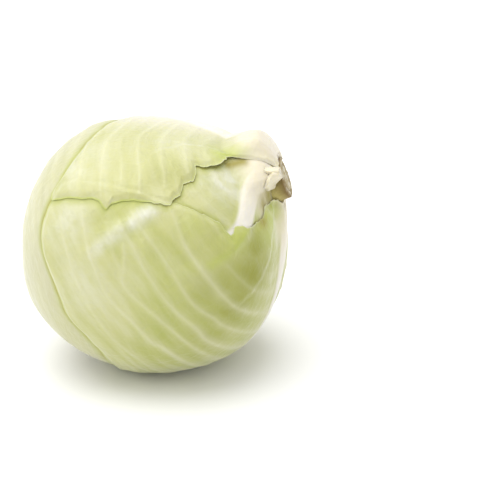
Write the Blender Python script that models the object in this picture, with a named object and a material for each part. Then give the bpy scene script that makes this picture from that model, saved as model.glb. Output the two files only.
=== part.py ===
"""A white cabbage head lying on its side with its cut stem tipped up.

The head is a dense heart of inner leaves with a stump on its base. Five wrapper leaves grow from
the stump and lie over the heart and over each other, and two petioles are left where leaves broke off.

Metres, +Z up. The origin is the middle of the flat spot that the head lies on. The stem points to
+X and up. A place on the head is given as two angles in degrees: theta, the angle from the stem, and
psi, the angle round the stem, from 0 on top of the head, through 90 at its -Y side, to 180 underneath.
"""

import math

import bpy
import numpy as np
from mathutils import Vector, geometry

MM = 0.001

# The heart: a slightly square ellipsoid, by its reach along -X, -Y and -Z and along +X, +Y and +Z
HEART_LOW = np.array([86.6, 82.5, 80.2]) * MM
HEART_HIGH = np.array([83.4, 82.5, 76.4]) * MM
SQUARENESS = 2.3

# The crown and a shoulder behind it stand up a little, and the far side is a little lower: how much in
# mm, the place of the middle, and the spread in degrees
RISES = (
    (3.2, (94.0, -1.0), 25.0),
    (2.8, (87.0, -18.0), 11.0),
    (-1.5, (156.0, 127.0), 12.0),
)

# The flat spot that the head lies on
FLAT_DEPTH = 1.9 * MM
FLAT_RADIUS = 15.0 * MM
FLAT_PRESS = 0.08 * MM
FLAT_RINGS = ((0.0, 1), (0.55, 6), (1.0, 12))

# The stem: its tilt above level, the seat of the stump on the heart, the slanting knife cut, and the
# angles from the stem at which the stump ends and the leaves begin
STEM_TILT = math.radians(29.0)
SEAT_HEIGHT = 84.5 * MM
CUT_HEIGHT = 96.5 * MM
CUT_SLANT = math.radians(10.0)
STUMP_ANGLE = math.radians(7.6)
LEAF_BASE_ANGLE = math.radians(8.5)
STUMP_SIDES = 32
STUMP_RINGS = (0.45, 0.8, 1.0)

# The stump isn't quite round: how many waves it has round it, their strength, and their phase
STUMP_WAVES = ((3, 0.035, 0.6), (5, -0.03, 0.0))

# A flat cut is followed only where its slant to the ray from the head's middle has at least this cosine
LEAST_COSINE = 0.2

# The leaves: blade thickness, the room between layers, and how far a layer climbs to a margin under
# it, which is also no more than a share of its distance from the stem
BLADE = 0.8 * MM
LEAST_BLADE = 0.6 * MM
GAP = 0.75 * MM
STUMP_GAP = 0.4 * MM
DRAPE = 14.0 * MM
STEM_DRAPE = 0.3
MEAN_RADIUS = 86.0 * MM

# The midrib: height and half width at the stem, how fast both fall away, its flat top, and its end
RIB_HEIGHT = 4.6 * MM
RIB_HALF_WIDTH = 10.0 * MM
RIB_THIN_HALF_WIDTH = 2.2 * MM
RIB_FADE = math.radians(30.0)
RIB_TOP = 0.15
RIB_START = LEAF_BASE_ANGLE + 0.03
RIB_END = math.radians(150.0)

# The share of a swollen petiole's width that has its full height
KNOB_TOP = 0.6

# The side veins: height, half width, spacing along the midrib, and their way round the head
VEIN_HEIGHT = 0.5 * MM
VEIN_HALF_WIDTH = 2.4 * MM
VEIN_SPACING = math.radians(10.5)
VEIN_FIRST = math.radians(26.5)
VEIN_LAST = math.radians(132.0)
VEIN_RISE = math.radians(7.0)
VEIN_TURN = math.radians(14.0)
VEIN_SLOPE = 0.085
VEIN_LENGTH = 90.0 * MM
VEIN_FADE = 0.75
VEIN_END = math.radians(175.0)
VEIN_SIDE_ROOM = 0.9 * VEIN_HALF_WIDTH

# The mesh: distances along outlines, along veins, and between other points near the stem and beyond,
# the room kept round a point, and the clearance kept between the layers inside every triangle
OUTLINE_STEP = 8.0 * MM
CURVE_SAMPLES = 24
STEM_STEP = 5.0 * MM
STEM_REACH = math.radians(31.0)
VEIN_STEP = 12.0 * MM
FILL_STEP = 12.0 * MM
ROOM = 2.3 * MM
CLEARANCE = 0.55 * MM
CLEARANCE_ROUNDS = 3
TRIANGLE_SHARES = (
    (0.5, 0.5, 0.0),
    (0.5, 0.0, 0.5),
    (0.0, 0.5, 0.5),
    (0.34, 0.33, 0.33),
    (0.7, 0.15, 0.15),
    (0.15, 0.7, 0.15),
    (0.15, 0.15, 0.7),
)
HEART_SUBDIVISIONS = 4
SHARP_ANGLE = math.radians(50.0)

STEM = np.array([math.cos(STEM_TILT), 0.0, math.sin(STEM_TILT)])
TOP = np.array([-math.sin(STEM_TILT), 0.0, math.cos(STEM_TILT)])
FRONT = np.array([0.0, -1.0, 0.0])
DOWN = np.array([0.0, 0.0, -1.0])
CUT_NORMAL = math.cos(CUT_SLANT) * STEM - math.sin(CUT_SLANT) * TOP

COLOURS = {
    "heart": (0.80, 0.82, 0.55),
    "leaf": (0.62, 0.66, 0.30),
    "stump": (0.80, 0.72, 0.52),
    "petiole": (0.86, 0.83, 0.66),
}
ROUGHNESS = 0.45


def smooth(low, high, value):
    """0 below low, 1 above high, and a smooth rise between them."""
    t = np.clip((value - low) / (high - low), 0.0, 1.0)
    return t * t * (3.0 - 2.0 * t)


def direction(theta, psi):
    """The unit vector from the head's middle at these angles, in radians."""
    theta, psi = np.asarray(theta)[..., None], np.asarray(psi)[..., None]
    return np.cos(theta) * STEM + np.sin(theta) * (np.cos(psi) * TOP + np.sin(psi) * FRONT)


def place(theta, psi):
    """The unit vector at these angles in degrees."""
    return direction(math.radians(theta), math.radians(psi))


def angles(units):
    """theta and psi of unit vectors, in radians."""
    return np.arccos(np.clip(units @ STEM, -1.0, 1.0)), np.arctan2(units @ FRONT, units @ TOP)


def angle_from(units, middle):
    """The angle in degrees between unit vectors and one place."""
    return np.degrees(np.arccos(np.clip(units @ middle, -1.0, 1.0)))


def turn(angle):
    """An angle brought between minus and plus half a turn."""
    return (angle + math.pi) % (2 * math.pi) - math.pi


def heart_radius(units):
    """The heart's surface, with a flat seat for the stump and a flat spot underneath."""
    scaled = np.abs(units) / np.where(units < 0, HEART_LOW, HEART_HIGH)
    radius = (scaled**SQUARENESS).sum(-1) ** (-1.0 / SQUARENESS)
    for rise, middle, spread in RISES:
        radius = radius + rise * MM * np.exp(-((angle_from(units, place(*middle)) / spread) ** 2))
    seat = SEAT_HEIGHT / np.maximum(units @ STEM, LEAST_COSINE)
    spot = (HEART_LOW[2] - FLAT_DEPTH) / np.maximum(units @ DOWN, LEAST_COSINE)
    return np.minimum(radius, np.minimum(seat, spot))


def cut_radius(units):
    """Where the knife went through the stem and the bases of the leaves."""
    return CUT_HEIGHT / np.maximum(units @ CUT_NORMAL, LEAST_COSINE)


class Leaf:
    """One leaf or leaf stub.

    centre is the place that its outline is drawn round, and outline is a list of places on its margin.
    rib is the midrib's psi at the stem, its psi further out, and the theta where it gets there, and
    rib_scale and rib_width are its height and width as shares of a plain one's.
    knob is a swollen petiole: its reach in mm, its psi, the thetas where it starts to fall away and
    ends, and its half width in psi. lift is a margin that curls up: how far in mm, the theta and psi of
    its middle, its spread in degrees, and how far it runs into the leaf in mm.
    """

    def __init__(
        self, name, centre, rib, outline, rib_scale=1.0, rib_width=1.0, veined=True, knob=None, lift=None
    ):
        self.name = name
        self.rib_start, self.rib_end, self.rib_bend = (math.radians(a) for a in rib)
        self.rib_scale = rib_scale
        self.rib_width = rib_width
        self.veined = veined
        self.knob = knob
        self.lift = lift
        self.theta, psi = math.radians(centre[0]), math.radians(centre[1])
        outward = math.cos(psi) * TOP + math.sin(psi) * FRONT
        self.middle = direction(self.theta, psi)
        self.along = math.cos(self.theta) * outward - math.sin(self.theta) * STEM
        self.across = math.cos(psi) * FRONT - math.sin(psi) * TOP
        corners = np.radians(np.array(outline, float))
        flat = self.flatten(direction(corners[:, 0], corners[:, 1]))
        bearing = np.arctan2(flat[:, 1], flat[:, 0])
        order = np.argsort(bearing)
        self.bearings = bearing[order]
        reaches = np.hypot(flat[order, 0], flat[order, 1])
        self.knots = np.concatenate([self.bearings + lap * 2 * math.pi for lap in (-1, 0, 1)])
        self.values = np.tile(reaches, 3)
        self.steps = np.diff(self.knots)
        # A corner that stands out or in has a level slope, so that the curve never passes its corners.
        slope = np.diff(self.values) / self.steps
        rising = slope[:-1] * slope[1:] > 0
        mean = 2 * slope[:-1] * slope[1:] / np.where(rising, slope[:-1] + slope[1:], 1.0)
        self.slopes = np.concatenate([[0.0], np.where(rising, mean, 0.0), [0.0]])

    def flatten(self, units):
        """Places in the leaf's own plane, in metres: x runs along the leaf to its tip, and y across it."""
        x, y = units @ self.along, units @ self.across
        length = np.hypot(x, y)
        scale = np.arctan2(length, units @ self.middle) * MEAN_RADIUS / np.maximum(length, 1e-9)
        return np.stack([x * scale, y * scale], -1)

    def wrap(self, flat):
        """Unit vectors of places in the leaf's own plane."""
        length = np.hypot(flat[..., 0], flat[..., 1])
        angle = length / MEAN_RADIUS
        scale = np.sin(angle) / np.maximum(length, 1e-9)
        level = flat[..., :1] * self.along + flat[..., 1:] * self.across
        return np.cos(angle)[..., None] * self.middle + scale[..., None] * level

    def outline_reach(self, bearing):
        """How far the margin is from the leaf's centre at each bearing. It stops short of the stump."""
        i = np.clip(np.searchsorted(self.knots, bearing) - 1, 0, len(self.steps) - 1)
        t = (bearing - self.knots[i]) / self.steps[i]
        reach = (
            (1 + 2 * t) * (1 - t) ** 2 * self.values[i]
            + t * (1 - t) ** 2 * self.steps[i] * self.slopes[i]
            + t * t * (3 - 2 * t) * self.values[i + 1]
            + t * t * (t - 1) * self.steps[i] * self.slopes[i + 1]
        )
        near, side = math.cos(self.theta), -math.sin(self.theta) * np.cos(bearing)
        share = math.cos(LEAF_BASE_ANGLE) / np.hypot(near, side)
        stump = np.arctan2(side, near) - np.arccos(np.clip(share, -1.0, 1.0))
        stump = np.where((share < 1.0) & (stump > 0), stump, math.pi) * MEAN_RADIUS
        return np.minimum(reach, stump)

    def inside(self, units):
        """How far inside the margin a place is, in metres; negative outside."""
        flat = self.flatten(units)
        reach = self.outline_reach(np.arctan2(flat[..., 1], flat[..., 0]))
        return reach - np.hypot(flat[..., 0], flat[..., 1])

    def rib_psi(self, theta):
        """The midrib's place round the stem."""
        return self.rib_start + (self.rib_end - self.rib_start) * smooth(LEAF_BASE_ANGLE, self.rib_bend, theta)

    def rib_half_width(self, theta):
        fade = np.exp(-(theta - LEAF_BASE_ANGLE) / RIB_FADE)
        width = RIB_THIN_HALF_WIDTH + (RIB_HALF_WIDTH - RIB_THIN_HALF_WIDTH) * fade
        return width * self.rib_width

    def rib_height(self, theta, psi):
        """The midrib's rise over the blade."""
        side = np.abs(turn(psi - self.rib_psi(theta))) * np.sin(theta) * MEAN_RADIUS
        crest = RIB_HEIGHT * np.exp(-(theta - LEAF_BASE_ANGLE) / RIB_FADE) * self.rib_scale
        return crest * (1.0 - smooth(RIB_TOP, 1.0, side / self.rib_half_width(theta)))

    def swollen(self, outer, theta, psi):
        """The outer surface, raised beside the stem where the leaf has a swollen petiole."""
        if not self.knob:
            return outer
        reach, middle, start, end, half_turn = self.knob
        beside = np.degrees(np.abs(turn(psi - math.radians(middle))))
        share = (1.0 - smooth(start, end, np.degrees(theta))) * (
            1.0 - smooth(KNOB_TOP * half_turn, half_turn, beside)
        )
        return outer + share * np.maximum(reach * MM - outer, 0.0)

    def lifted(self, units, depth):
        """How far the leaf stands off what is under it, where its margin curls up."""
        if not self.lift:
            return np.zeros(len(units))
        height, theta, psi, spread, run = self.lift
        near = np.exp(-((angle_from(units, place(theta, psi)) / spread) ** 2))
        return height * MM * near * np.exp(-np.maximum(depth, 0.0) / (run * MM))

    def layers(self, units, under):
        """The leaf's inner and outer radius over what is under it, and how far inside its margin it is."""
        theta, psi = angles(units)
        depth = self.inside(units)
        inner = under + GAP + self.lifted(units, depth)
        outer = self.swollen(inner + BLADE + self.rib_height(theta, psi), theta, psi)
        return inner, outer, depth


# From the innermost leaf to the outermost. The last place of each outline is in the stump, and there
# the leaf ends along the stump.
LEAVES = [
    Leaf(
        "lower_back_leaf",
        centre=(70, 222),
        rib=(226, 216, 110),
        outline=[
            (9, 182), (20, 176), (36, 174), (52, 176), (68, 182), (84, 190), (100, 198), (114, 205),
            (126, 214), (132, 230), (126, 248), (113, 259), (96, 266), (78, 270), (60, 270), (42, 268),
            (26, 266), (14, 268), (9, 272), (2, 226),
        ],
    ),
    Leaf(
        "ribbed_leaf",
        centre=(46, 82),
        rib=(52, 92, 42),
        rib_scale=0.95,
        rib_width=2.0,
        knob=(98.5, 40, 13, 30, 38),
        outline=[
            (9, 26), (18, 24), (28, 20), (38, 18), (50, 20), (62, 28), (72, 42), (79, 60), (81, 80),
            (77, 100), (68, 116), (56, 126), (42, 129), (28, 127), (17, 122), (9, 116), (2, 72),
        ],
    ),
    Leaf(
        "back_leaf",
        centre=(72, 296),
        rib=(300, 290, 110),
        outline=[
            (9, 258), (20, 252), (34, 246), (50, 241), (66, 239), (84, 240), (102, 244), (118, 252),
            (129, 266), (134, 283), (130, 300), (121, 313), (109, 323), (96, 330), (84, 336), (72, 341),
            (58, 345), (42, 345), (28, 340), (17, 334), (9, 330), (2, 298),
        ],
    ),
    Leaf(
        "front_leaf",
        centre=(72, 138),
        rib=(160, 160, 60),
        rib_width=2.1,
        outline=[
            (9, 119), (12, 104), (17, 96), (20.5, 95.5), (24, 98.5), (28, 98), (32, 95), (36, 93), (41, 87),
            (45, 89), (46, 80), (51, 72), (55, 66), (63, 58), (74, 48), (88, 38), (101, 32), (111, 38),
            (118, 46), (122, 60), (124, 74), (126, 88), (124, 102), (123, 116), (125, 128), (130, 141),
            (137, 154), (142, 168), (143, 182), (138, 195), (128, 205), (114, 212), (98, 215), (80, 215),
            (60, 212), (42, 207), (26, 202), (15, 200), (9, 200), (2, 165),
        ],
    ),
    Leaf(
        "front_petiole_stub",
        centre=(13, 66),
        rib=(66, 66, 30),
        rib_scale=0.9,
        rib_width=0.9,
        veined=False,
        outline=[
            (9, 49), (13, 48), (16, 50), (17.5, 55), (16, 60), (18, 66), (18, 72), (15, 75), (12, 79),
            (9, 83), (4, 66),
        ],
    ),
    Leaf(
        "back_petiole_stub",
        centre=(19, 262),
        rib=(262, 262, 30),
        veined=False,
        outline=[
            (9, 232), (15, 240), (23, 246), (29, 251), (28, 258), (32, 263), (30, 270), (30, 276),
            (22, 280), (14, 284), (9, 290), (3, 262),
        ],
    ),
    Leaf(
        "top_leaf",
        centre=(58, 14),
        rib=(-20, -22, 60),
        rib_scale=1.3,
        rib_width=1.6,
        knob=(102.2, -22, 19, 29.5, 72),
        lift=(2.6, 33, 38, 9, 7),
        outline=[
            (9, -52), (20, -50), (34, -56), (48, -60), (60, -54), (69, -42), (76, -27), (82, -12),
            (88, 4), (94, 16), (101, 27), (108, 36), (101, 41), (95, 44), (88, 48), (86, 53), (83, 51.5),
            (78, 53), (70, 57), (62, 62), (59, 60), (56, 58), (52, 53), (49, 53), (46, 49), (44.5, 43),
            (41, 44), (37, 44), (33, 42), (29, 39), (26, 35), (22.5, 38), (18, 42), (14, 43.5), (9, 45),
            (2, 0),
        ],
    ),
]
LOWEST_LEAF = [leaf.name for leaf in LEAVES].index("front_leaf")


def stack(units, number):
    """The radius on which leaf number lies: over the heart and every leaf before it."""
    radius = heart_radius(units)
    climb = np.minimum(DRAPE, STEM_DRAPE * angles(units)[0] * MEAN_RADIUS)
    for leaf in LEAVES[:number]:
        _, outer, depth = leaf.layers(units, radius)
        crest = outer + (VEIN_HEIGHT if leaf.veined else 0.0)
        radius = radius + smooth(-climb, -BLADE, depth) * (crest - radius)
    return radius


def resting_height():
    """The height of the head's middle: the lowest leaf is pressed a little flat, straight down."""
    units = DOWN[None]
    _, outer, _ = LEAVES[LOWEST_LEAF].layers(units, stack(units, LOWEST_LEAF))
    return float(outer[0]) - FLAT_PRESS


MIDDLE = np.array([0.0, 0.0, resting_height()])


class Plan:
    """The flat mesh of a leaf: points in the leaf's plane, their height as a vein, and lines between them."""

    def __init__(self, leaf):
        self.leaf = leaf
        self.points = []
        self.heights = []
        self.lines = []

    def add(self, point, height=0.0, room=ROOM):
        """Adds a point if it is well inside the margin and has room round it, and returns its number."""
        point = np.asarray(point)
        if self.leaf.inside(self.leaf.wrap(point[None]))[0] < room:
            return None
        if np.hypot(*(np.array(self.points) - point).T).min() < room:
            return None
        self.points.append(tuple(point))
        self.heights.append(height)
        return len(self.points) - 1

    def add_margin(self):
        """The margin as a loop of points that keeps the outline's corners."""
        starts = self.leaf.bearings
        ends = np.append(starts[1:], starts[0] + 2 * math.pi)
        for start, end in zip(starts, ends):
            bearing = np.linspace(start, end, CURVE_SAMPLES)
            reach = self.leaf.outline_reach(bearing)
            run = np.stack([reach * np.cos(bearing), reach * np.sin(bearing)], -1)
            length = math.dist(run[0], run[-1])
            self.points += [tuple(p) for p in evenly(run, max(1, math.ceil(length / OUTLINE_STEP)))[:-1]]
        self.margin = list(range(len(self.points)))
        self.heights = [0.0] * len(self.points)
        self.lines = list(zip(self.margin, self.margin[1:] + self.margin[:1]))

    def add_flat_spot(self):
        """Rings of points round the place straight down, so that the spot is truly flat."""
        for share, sides in FLAT_RINGS:
            for k in range(sides):
                angle = 2 * math.pi * k / sides
                level = np.array([math.cos(angle), math.sin(angle), 0.0]) * FLAT_RADIUS * share
                spoke = level + DOWN * MIDDLE[2]
                self.add(self.leaf.flatten((spoke / np.linalg.norm(spoke))[None])[0])

    def add_rib(self):
        """Points along the midrib's crest and its two feet."""
        leaf = self.leaf
        theta = np.arange(RIB_START, RIB_END, 0.01)
        depth = leaf.inside(direction(theta, leaf.rib_psi(theta)))
        theta = theta[: max(2, np.argmin(np.append(depth > ROOM, False)))]
        count = max(2, round((theta[-1] - theta[0]) * MEAN_RADIUS / VEIN_STEP))
        for angle in np.linspace(theta[0], theta[-1], count + 1):
            foot = leaf.rib_half_width(angle) / (math.sin(angle) * MEAN_RADIUS)
            for aside in (0.0, -foot, foot):
                if abs(aside) < 1.0:
                    self.add(leaf.flatten(direction(angle, leaf.rib_psi(angle) + aside)[None])[0])

    def add_vein(self, start, side):
        """A side vein from the midrib round the head, with a line along its crest and points beside it."""
        leaf = self.leaf
        swing = np.arange(0.0, VEIN_END, math.radians(1.0))
        theta = start + VEIN_RISE * (1.0 - np.exp(-swing / VEIN_TURN)) + VEIN_SLOPE * swing
        units = direction(theta, leaf.rib_psi(theta) + side * swing)
        off_rib = swing * np.sin(theta) * MEAN_RADIUS - leaf.rib_half_width(theta)
        clear = (off_rib > 2 * ROOM) & (leaf.inside(units) > 2 * ROOM)
        if not clear.any():
            return
        first = int(np.argmax(clear))
        last = first + int(np.argmin(np.append(clear[first:], False)))
        run = leaf.flatten(units[first:last])
        length = float(np.hypot(*np.diff(run, axis=0).T).sum())
        if length < VEIN_STEP:
            return
        crest = evenly(run, max(2, round(length / VEIN_STEP)))
        tangent = np.gradient(crest, axis=0)
        tangent /= np.hypot(*tangent.T)[:, None]
        before = None
        for k, (point, (dx, dy)) in enumerate(zip(crest, tangent)):
            share = k / (len(crest) - 1) * min(1.0, length / VEIN_LENGTH)
            number = self.add(point, VEIN_HEIGHT * (1.0 - VEIN_FADE * share**1.5))
            if before is not None and number is not None:
                self.lines.append((before, number))
            before = number
            if number is not None:
                aside = np.array([-dy, dx]) * VEIN_HALF_WIDTH
                self.add(point - aside, room=VEIN_SIDE_ROOM)
                self.add(point + aside, room=VEIN_SIDE_ROOM)

    def add_fill(self):
        """A net of points over what is left, which is closer near the stem."""
        low, high = np.min(self.points, axis=0), np.max(self.points, axis=0)
        for step, reach in ((STEM_STEP, STEM_REACH), (FILL_STEP, math.pi)):
            for row, y in enumerate(np.arange(low[1], high[1], step * math.sqrt(3) / 2)):
                for x in np.arange(low[0] + step / 2 * (row % 2), high[0], step):
                    theta = angles(self.leaf.wrap(np.array([[x, y]])))[0][0]
                    if theta < reach:
                        self.add((x, y), room=step / 2)

    def triangles(self):
        made = geometry.delaunay_2d_cdt(
            [Vector(p) / MM for p in self.points], self.lines, [self.margin], 1, 1e-4
        )
        if len(made[0]) != len(self.points):
            raise ValueError(f"{self.leaf.name}: lines of its plan cross")
        return [tuple(face) for face in made[2]]


def evenly(run, count):
    """A line of points cut into count even lengths."""
    length = np.concatenate([[0.0], np.cumsum(np.hypot(*np.diff(run, axis=0).T))])
    at = np.linspace(0.0, length[-1], count + 1)
    return np.stack([np.interp(at, length, run[:, 0]), np.interp(at, length, run[:, 1])], -1)


def leaf_plan(number):
    leaf = LEAVES[number]
    plan = Plan(leaf)
    plan.add_margin()
    if number == LOWEST_LEAF:
        plan.add_flat_spot()
    plan.add_rib()
    if leaf.veined:
        for side, first in ((-1.0, VEIN_FIRST), (1.0, VEIN_FIRST + VEIN_SPACING / 2)):
            for start in np.arange(first, VEIN_LAST, VEIN_SPACING):
                plan.add_vein(start, side)
    plan.add_fill()
    return plan


def raise_clear(units, inner, triangles, number):
    """Raises the corners of each triangle that would dip into what is under it between its corners."""
    corners = np.array(triangles)
    for _ in range(CLEARANCE_ROUNDS):
        lift = np.zeros(len(inner))
        points = (units * inner[:, None])[corners]
        for share in TRIANGLE_SHARES:
            sample = (points * np.array(share)[None, :, None]).sum(1)
            radius = np.linalg.norm(sample, axis=1)
            short = stack(sample / radius[:, None], number) + CLEARANCE - radius
            for k in range(3):
                np.maximum.at(lift, corners[:, k], short)
        inner = inner + lift
    return inner


def new_object(name, points, faces, colour):
    """An object of its own with a plain material."""
    mesh = bpy.data.meshes.new(name)
    mesh.from_pydata([tuple(p) for p in points], [], faces)
    mesh.shade_smooth()
    mesh.set_sharp_from_angle(angle=SHARP_ANGLE)
    material = bpy.data.materials.new(name)
    material.use_nodes = True
    shader = material.node_tree.nodes["Principled BSDF"]
    shader.inputs["Base Color"].default_value = (*colour, 1.0)
    shader.inputs["Roughness"].default_value = ROUGHNESS
    mesh.materials.append(material)
    obj = bpy.data.objects.new(name, mesh)
    bpy.context.scene.collection.objects.link(obj)


def new_shell(name, units, inner, outer, triangles, margin, colour):
    """A closed solid between two surfaces that are split into triangles alike."""
    count = len(units)
    faces = list(triangles) + [tuple(count + i for i in reversed(f)) for f in triangles]
    for a, b in zip(margin, margin[1:] + margin[:1]):
        faces += [(b, a, count + a), (b, count + a, count + b)]
    points = np.concatenate([units * outer[:, None], units * inner[:, None]]) + MIDDLE
    new_object(name, points, faces, colour)


def build_heart():
    """The dense inner leaves as one solid."""
    bpy.ops.mesh.primitive_ico_sphere_add(subdivisions=HEART_SUBDIVISIONS, radius=1.0)
    ball = bpy.context.object
    units = np.array([v.co for v in ball.data.vertices])
    units /= np.linalg.norm(units, axis=1)[:, None]
    faces = [tuple(p.vertices) for p in ball.data.polygons]
    bpy.data.objects.remove(ball)
    new_object("heart", units * heart_radius(units)[:, None] + MIDDLE, faces, COLOURS["heart"])


def build_leaf(number):
    """One leaf over everything that is under it, cut off by the knife and level with the surface."""
    leaf = LEAVES[number]
    plan = leaf_plan(number)
    triangles = plan.triangles()
    units = leaf.wrap(np.array(plan.points))
    low, outer, _ = leaf.layers(units, stack(units, number))
    inner = raise_clear(units, low, triangles, number)
    outer = outer + np.array(plan.heights) + inner - low
    level = MIDDLE[2] / np.maximum(units @ DOWN, LEAST_COSINE)
    outer = np.minimum(outer, np.minimum(cut_radius(units), level))
    inner = np.minimum(inner, outer - LEAST_BLADE)
    colour = COLOURS["leaf" if leaf.veined else "petiole"]
    new_shell(leaf.name, units, inner, outer, triangles, plan.margin, colour)


def build_stump():
    """The cut stem: it stands on the heart's flat seat, among the bases of the leaves."""
    units = [STEM]
    for share in STUMP_RINGS:
        for psi in np.arange(STUMP_SIDES) * 2 * math.pi / STUMP_SIDES:
            wave = 1.0 + sum(size * math.cos(count * psi + phase) for count, size, phase in STUMP_WAVES)
            units.append(direction(STUMP_ANGLE * share * wave, psi))
    units = np.array(units)
    rings = [[1 + ring * STUMP_SIDES + k for k in range(STUMP_SIDES)] for ring in range(len(STUMP_RINGS))]
    triangles = [(0, a, b) for a, b in zip(rings[0], rings[0][1:] + rings[0][:1])]
    for near, far in zip(rings, rings[1:]):
        for k in range(STUMP_SIDES):
            after = (k + 1) % STUMP_SIDES
            triangles += [(near[k], far[k], far[after]), (near[k], far[after], near[after])]
    inner = (SEAT_HEIGHT + STUMP_GAP) / (units @ STEM)
    new_shell("stump", units, inner, cut_radius(units), triangles, rings[-1], COLOURS["stump"])


def main():
    for obj in list(bpy.data.objects):
        bpy.data.objects.remove(obj)
    build_heart()
    for number in range(len(LEAVES)):
        build_leaf(number)
    build_stump()


main()
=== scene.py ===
"""The looks of the cabbage head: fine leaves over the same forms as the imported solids, and their finish."""

import math

import bpy
import numpy as np
from mathutils import Matrix, Vector


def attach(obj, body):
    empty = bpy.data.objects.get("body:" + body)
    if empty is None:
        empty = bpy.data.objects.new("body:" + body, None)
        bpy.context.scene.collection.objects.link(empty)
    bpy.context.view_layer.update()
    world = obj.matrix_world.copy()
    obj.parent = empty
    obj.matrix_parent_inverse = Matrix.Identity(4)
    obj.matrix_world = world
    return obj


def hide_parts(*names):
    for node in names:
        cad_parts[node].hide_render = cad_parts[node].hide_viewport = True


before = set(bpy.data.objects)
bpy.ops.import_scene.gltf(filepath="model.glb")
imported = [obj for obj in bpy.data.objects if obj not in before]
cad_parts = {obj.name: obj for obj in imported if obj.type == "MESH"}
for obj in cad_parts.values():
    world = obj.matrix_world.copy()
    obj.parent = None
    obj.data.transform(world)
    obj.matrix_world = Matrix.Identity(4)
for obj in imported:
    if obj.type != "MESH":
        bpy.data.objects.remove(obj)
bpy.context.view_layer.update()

MM = 0.001

# The heart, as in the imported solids: half sizes towards -X, -Y, -Z and +X, +Y, +Z, squareness, rises (mm,
# place, spread in degrees), how much lower it all is, and the least cosine that flats are cut for
HEART_LOW = np.array([86.6, 82.5, 80.2]) * MM
HEART_HIGH = np.array([83.4, 82.5, 76.4]) * MM
SQUARENESS = 2.3
RISES = (
    (3.2, (94.0, -1.0), 25.0),
    (2.8, (87.0, -18.0), 11.0),
    (-1.5, (156.0, 127.0), 12.0),
)
SWELL_REST = -0.45 * MM
LEAST_COSINE = 0.2

# The flat spot, the stem and its cut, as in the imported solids
FLAT_DEPTH = 1.9 * MM
FLAT_PRESS = 0.08 * MM
STEM_TILT = math.radians(29.0)
SEAT_HEIGHT = 84.5 * MM
CUT_HEIGHT = 96.5 * MM
CUT_SLANT = math.radians(10.0)
STUMP_ANGLE = math.radians(7.6)
LEAF_BASE_ANGLE = math.radians(8.5)

# The leaves: the blade and the gap under it, the shares of them at the margin, how far margins stand off,
# how far each of these runs into the leaf, and how far a leaf takes to climb over the margin of another
BLADE = 0.8 * MM
GAP = 0.75 * MM
RIM_BLADE = 0.3
RIM_GAP = 0.08
RIM_RUN = 6.0 * MM
RIM_LIFT = 0.04 * MM
RIM_LIFT_RUN = 2.5 * MM
TORN_LIFT = 0.18 * MM
TORN_LIFT_RUN = 2.2 * MM
LEAST_BLADE = 0.25 * MM
STUMP_GAP = 0.4 * MM
DRAPE = 14.0 * MM
STEM_DRAPE = 0.3
MEAN_RADIUS = 86.0 * MM

# The fine margins: waves (how many all round, height in mm), tears (spacing, height in mm), the degrees
# from a torn place at which its tears fade and end, and the share of a leaf's reach where they begin
MARGIN_STEPS = 4001
MARGIN_PHASE = 6.28
MARGIN_WAVES = ((9, 0.5), (17, 0.35), (31, 0.22), (53, 0.12))
MARGIN_TEARS = ((5.0 * MM, 0.9), (1.8 * MM, 0.5), (0.8 * MM, 0.22))
TEAR_JITTER = 0.3
TEAR_FADES = 4.0
TEAR_ENDS = 10.0
MARGIN_FROM = 0.75

# The midribs (half widths, height), the swollen petioles (knobs) and the thin margins of their collar
RIB_HEIGHT = 4.6 * MM
RIB_WIDE = 10.0 * MM
RIB_THIN = 2.2 * MM
RIB_FADE = math.radians(30.0)
RIB_TOP = 0.15
RIB_WHITE_TO = 0.6
RIB_WHITE_FADE = 0.9
KNOB_TOP = 0.6
KNOB_ROUND = 5.0 * MM
COLLAR_START = math.radians(20.0)
COLLAR_END = math.radians(27.0)
COLLAR_RIM = 0.3

# The knife's cut: how close to it a leaf is brown, how round its edge is, and the angles from the stem
# between which the brown ends on a knob
CUT_NEAR = 0.4 * MM
CUT_ROUND = 0.2 * MM
CUT_KNOB_FROM = math.radians(9.0)
CUT_KNOB_TO = math.radians(14.0)

# The side veins and their forks. A wobble is its size in degrees and its rates along swing and theta
VEIN_HEIGHT = 0.5 * MM
VEIN_ROOM = 0.3 * MM
VEIN_WIDE = 3.6 * MM
VEIN_THIN = 2.3 * MM
VEIN_SPACING = math.radians(10.5)
VEIN_FIRST = math.radians(26.5)
VEIN_LAST = math.radians(132.0)
VEIN_ROOM_FROM = 0.7 * VEIN_FIRST
VEIN_RISE = math.radians(7.0)
VEIN_TURN = math.radians(14.0)
VEIN_SLOPE = 0.085
VEIN_LENGTH = 90.0 * MM
VEIN_LONGEST = 1.2
VEIN_FADE = 0.75
VEIN_FADE_POWER = 1.5
VEIN_JITTER = 0.22
VEIN_WOBBLES = ((1.2, 2.4, 3.3), (0.6, 6.1, -5.2))
VEIN_PHASE = 6.0
VEIN_CORE = 0.4
VEIN_HALO = 1.2
VEIN_RIM = 3.0 * MM
VEIN_UNDER_RIB = 0.8
FORK_HEIGHT = 0.65
FORKS = 2
FORK_STARTS = (14.0, 75.0)
FORK_RUNS = (18.0, 40.0)
FORK_SHIFTS = (-0.5, 0.45)
FORK_EARLY = 0.02
FORK_LATE = 0.04
PATH_STEPS = 6
PATH_FADE = 0.35
PATHS_END = math.radians(100.0)
FLOW_APART = 0.1
VEIN_SEEDS = 100

# The painted shadow lines in the gaps under the margins of leaves: how strong on a leaf, and their half
# widths in mm
LEAF_GAP_SHADOW = 0.6
LEAF_GAP_SHADOW_WIDTH = 0.9
HEART_GAP_SHADOW_WIDTH = 1.9

# The heart, which has no margin: FAR_INSIDE stands for how far inside one it is, in mm
HEART_NET = 7
HEART_VEIN_HEIGHT = 0.35 * MM
FAR_INSIDE = 99.0
SHARP_ANGLE = math.radians(55.0)

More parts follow.
